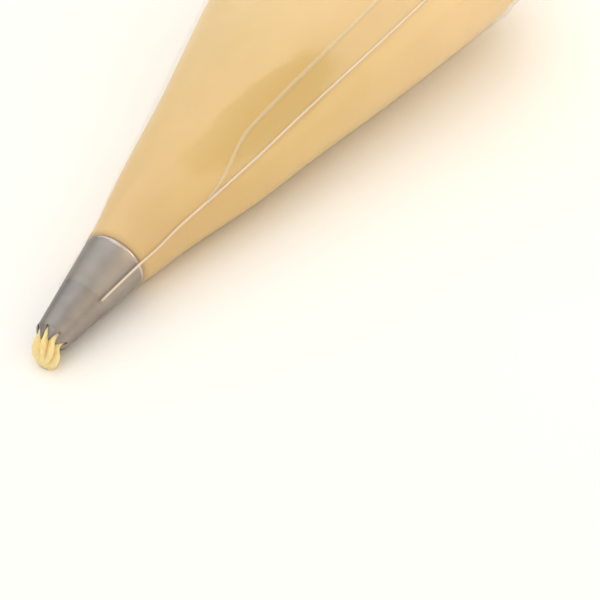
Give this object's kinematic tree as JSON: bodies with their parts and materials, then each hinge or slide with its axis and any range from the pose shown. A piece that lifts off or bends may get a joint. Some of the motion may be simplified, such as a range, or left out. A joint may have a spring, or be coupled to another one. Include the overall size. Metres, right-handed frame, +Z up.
{
  "type": "piping bag",
  "caption": "Clear film piping bag full of cream, lying on its side, closed by a twist, with a steel star nozzle and a ridged bead of cream at its teeth.",
  "frame": {"origin": "middle of the footprint: the centre of the bounding box in X and Y, at its lowest height", "axes": "+X runs from the nozzle to the open end of the film, +Z is up, and the side weld is on the -Y side"},
  "size_m": [0.3196, 0.096, 0.0579],
  "materials": {
    "film": "clear thin film, glossy",
    "weld": "clear film pressed double, glossy",
    "cream": "smooth custard cream, soft sheen",
    "nozzle": "satin"
  },
  "bodies": {
    "bag": {"film_cone": "film", "side_weld": "weld", "cream_fill": "cream", "neck_twist": "film"},
    "nozzle": {"nozzle": "nozzle", "cream_star": "cream"},
    "tail": {"tail_film": "film"}
  },
  "joints": [
    {"name": "nozzle_turn", "type": "hinge", "parent": "bag", "child": "nozzle", "pos_m": [-0.12172, 0, 0.00957], "axis": [-0.9897, 0, -0.1434], "continuous": true},
    {"name": "tail_twist", "type": "hinge", "parent": "bag", "child": "tail", "pos_m": [0.09128, 0, 0.017], "axis": [1, 0, 0], "range_deg": [-175, 175]}
  ]
}
